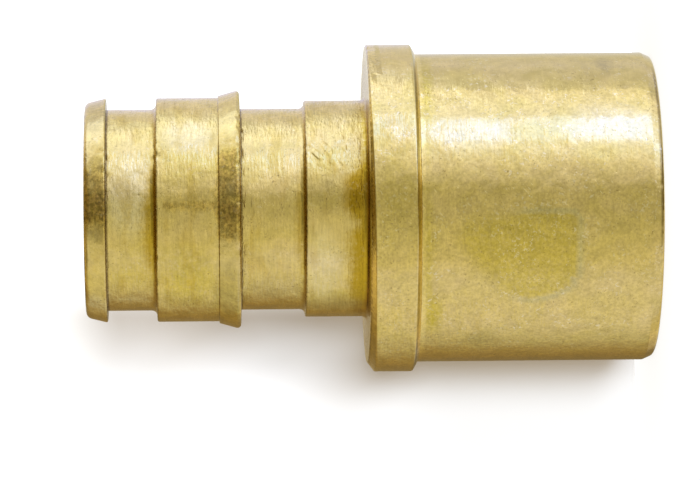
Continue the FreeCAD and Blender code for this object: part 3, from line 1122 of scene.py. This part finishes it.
# %% Hang the tent
TENT_RADIUS = 0.8
TENT_STEP = 2
tent_spots = []
tent_paint = []
lifts = list(range(-90, 91, TENT_STEP))
turns = list(range(-180, 181, TENT_STEP))
for lift in lifts:
    for turn in turns:
        rise = math.radians(lift)
        swing = math.radians(turn)
        out = TENT_RADIUS * math.cos(rise)
        tent_spots.append((out * math.sin(swing), -out * math.cos(swing), TENT_RADIUS * math.sin(rise)))
        tent_paint.append(cloth_colour(turn, lift))
tent_faces = []
for row in range(len(lifts) - 1):
    for step in range(len(turns) - 1):
        start = row * len(turns) + step
        tent_faces.append((start, start + 1, start + len(turns) + 1, start + len(turns)))
tent_mesh = bpy.data.meshes.new("light_tent")
tent_mesh.from_pydata(tent_spots, [], tent_faces)
cloth = tent_mesh.attributes.new("cloth", "FLOAT_COLOR", "POINT")
for index, value in enumerate(tent_paint):
    cloth.data[index].color = value
tent = bpy.data.objects.new("light_tent", tent_mesh)
bpy.context.scene.collection.objects.link(tent)

tent_finish = bpy.data.materials.new("lit_cloth")
tent_finish.use_nodes = True
tent_finish.node_tree.nodes.clear()
cloth_colour_node = tent_finish.node_tree.nodes.new("ShaderNodeAttribute")
cloth_colour_node.attribute_name = "cloth"
glow = tent_finish.node_tree.nodes.new("ShaderNodeEmission")
feed(tent_finish, glow.inputs["Color"], cloth_colour_node.outputs["Color"])
tent_out = tent_finish.node_tree.nodes.new("ShaderNodeOutputMaterial")
feed(tent_finish, tent_out.inputs["Surface"], glow.outputs[0])
tent_finish.cycles.emission_sampling = "NONE"
tent_mesh.materials.append(tent_finish)
tent.visible_camera = False
tent.visible_diffuse = False
tent.visible_shadow = False
tent.visible_transmission = False
print("light tent of", len(tent_faces), "panels")

# %% [markdown]
# ## The key light
#
# One softbox in front of the piece, a little towards +X, gives it the soft shadow on the backdrop. It is
# long and turned on its own axis, which makes the shadow longer beside the slim insert. The floor doesn't
# block it, because its middle hangs a little lower than the floor. The metal shows the tent instead of
# it, since the tent already has the bright side.

# %% Hang the softbox
KEY_ANGLE = 8.0
KEY_RISE = -0.07
KEY_DISTANCE = 1.0
KEY_WIDTH = 0.18
KEY_HEIGHT = 0.42
KEY_TILT = math.radians(30)
KEY_POWER = 33.0
KEY_COLOUR = (0.81, 0.89, 1.0)
key_data = bpy.data.lights.new("softbox", "AREA")
key_data.shape = "RECTANGLE"
key_data.size = KEY_WIDTH
key_data.size_y = KEY_HEIGHT
key_data.energy = KEY_POWER
key_data.color = KEY_COLOUR
key_light = bpy.data.objects.new("softbox", key_data)
bpy.context.scene.collection.objects.link(key_light)
key_swing = math.radians(KEY_ANGLE)
toward_key = Vector((math.sin(key_swing), -math.cos(key_swing), KEY_RISE)).normalized()
key_light.location = toward_key * KEY_DISTANCE
key_facing = toward_key.to_track_quat("Z", "Y") @ Quaternion((0, 0, 1), KEY_TILT)
key_light.rotation_euler = key_facing.to_euler()
key_light.visible_camera = False
key_light.visible_glossy = False
print("softbox power", key_data.energy, "W")

# %% White surroundings
surroundings = bpy.data.worlds.new("white_room")
surroundings.use_nodes = True
surroundings.node_tree.nodes["Background"].inputs["Color"].default_value = (1.0, 1.0, 1.0, 1.0)
surroundings.node_tree.nodes["Background"].inputs["Strength"].default_value = 1.0
bpy.context.scene.world = surroundings
bpy.context.scene.view_settings.view_transform = "Standard"

# %% [markdown]
# ## The camera
#
# The photograph was taken square to the piece from about a third of a metre, with the insert to the
# left. In this frame the insert points up, so the camera is rolled a quarter turn: up in the picture
# is +X, and right is down the axis. The two small slopes put the piece where it is in the picture.

# %% Place the camera
CAMERA_DISTANCE = 0.3257
CAMERA_HEIGHT = 0.03257
FOCAL_PIXELS = 4510
PICTURE_WIDTH = 700
SENSOR_WIDTH = 36.0
ROLL = math.radians(0.5)
SLOPE_SIDEWAYS = -0.00702
SLOPE_DOWN = -0.03326
look_along = Vector((SLOPE_SIDEWAYS, 1.0, SLOPE_DOWN)).normalized()
picture_right = Vector((-math.sin(ROLL), 0, -math.cos(ROLL)))
picture_right = (picture_right - look_along * picture_right.dot(look_along)).normalized()
picture_up = picture_right.cross(look_along)
camera_data = bpy.data.cameras.new("camera")
camera_data.sensor_width = SENSOR_WIDTH
camera_data.lens = FOCAL_PIXELS * SENSOR_WIDTH / PICTURE_WIDTH
camera_data.clip_start = 0.01
camera = bpy.data.objects.new("camera", camera_data)
bpy.context.scene.collection.objects.link(camera)
turn_matrix = Matrix((picture_right, picture_up, -look_along)).transposed()
camera.matrix_world = Matrix.Translation((0, -CAMERA_DISTANCE, CAMERA_HEIGHT)) @ turn_matrix.to_4x4()
bpy.context.scene.camera = camera
print("lens", round(camera_data.lens, 1), "mm")
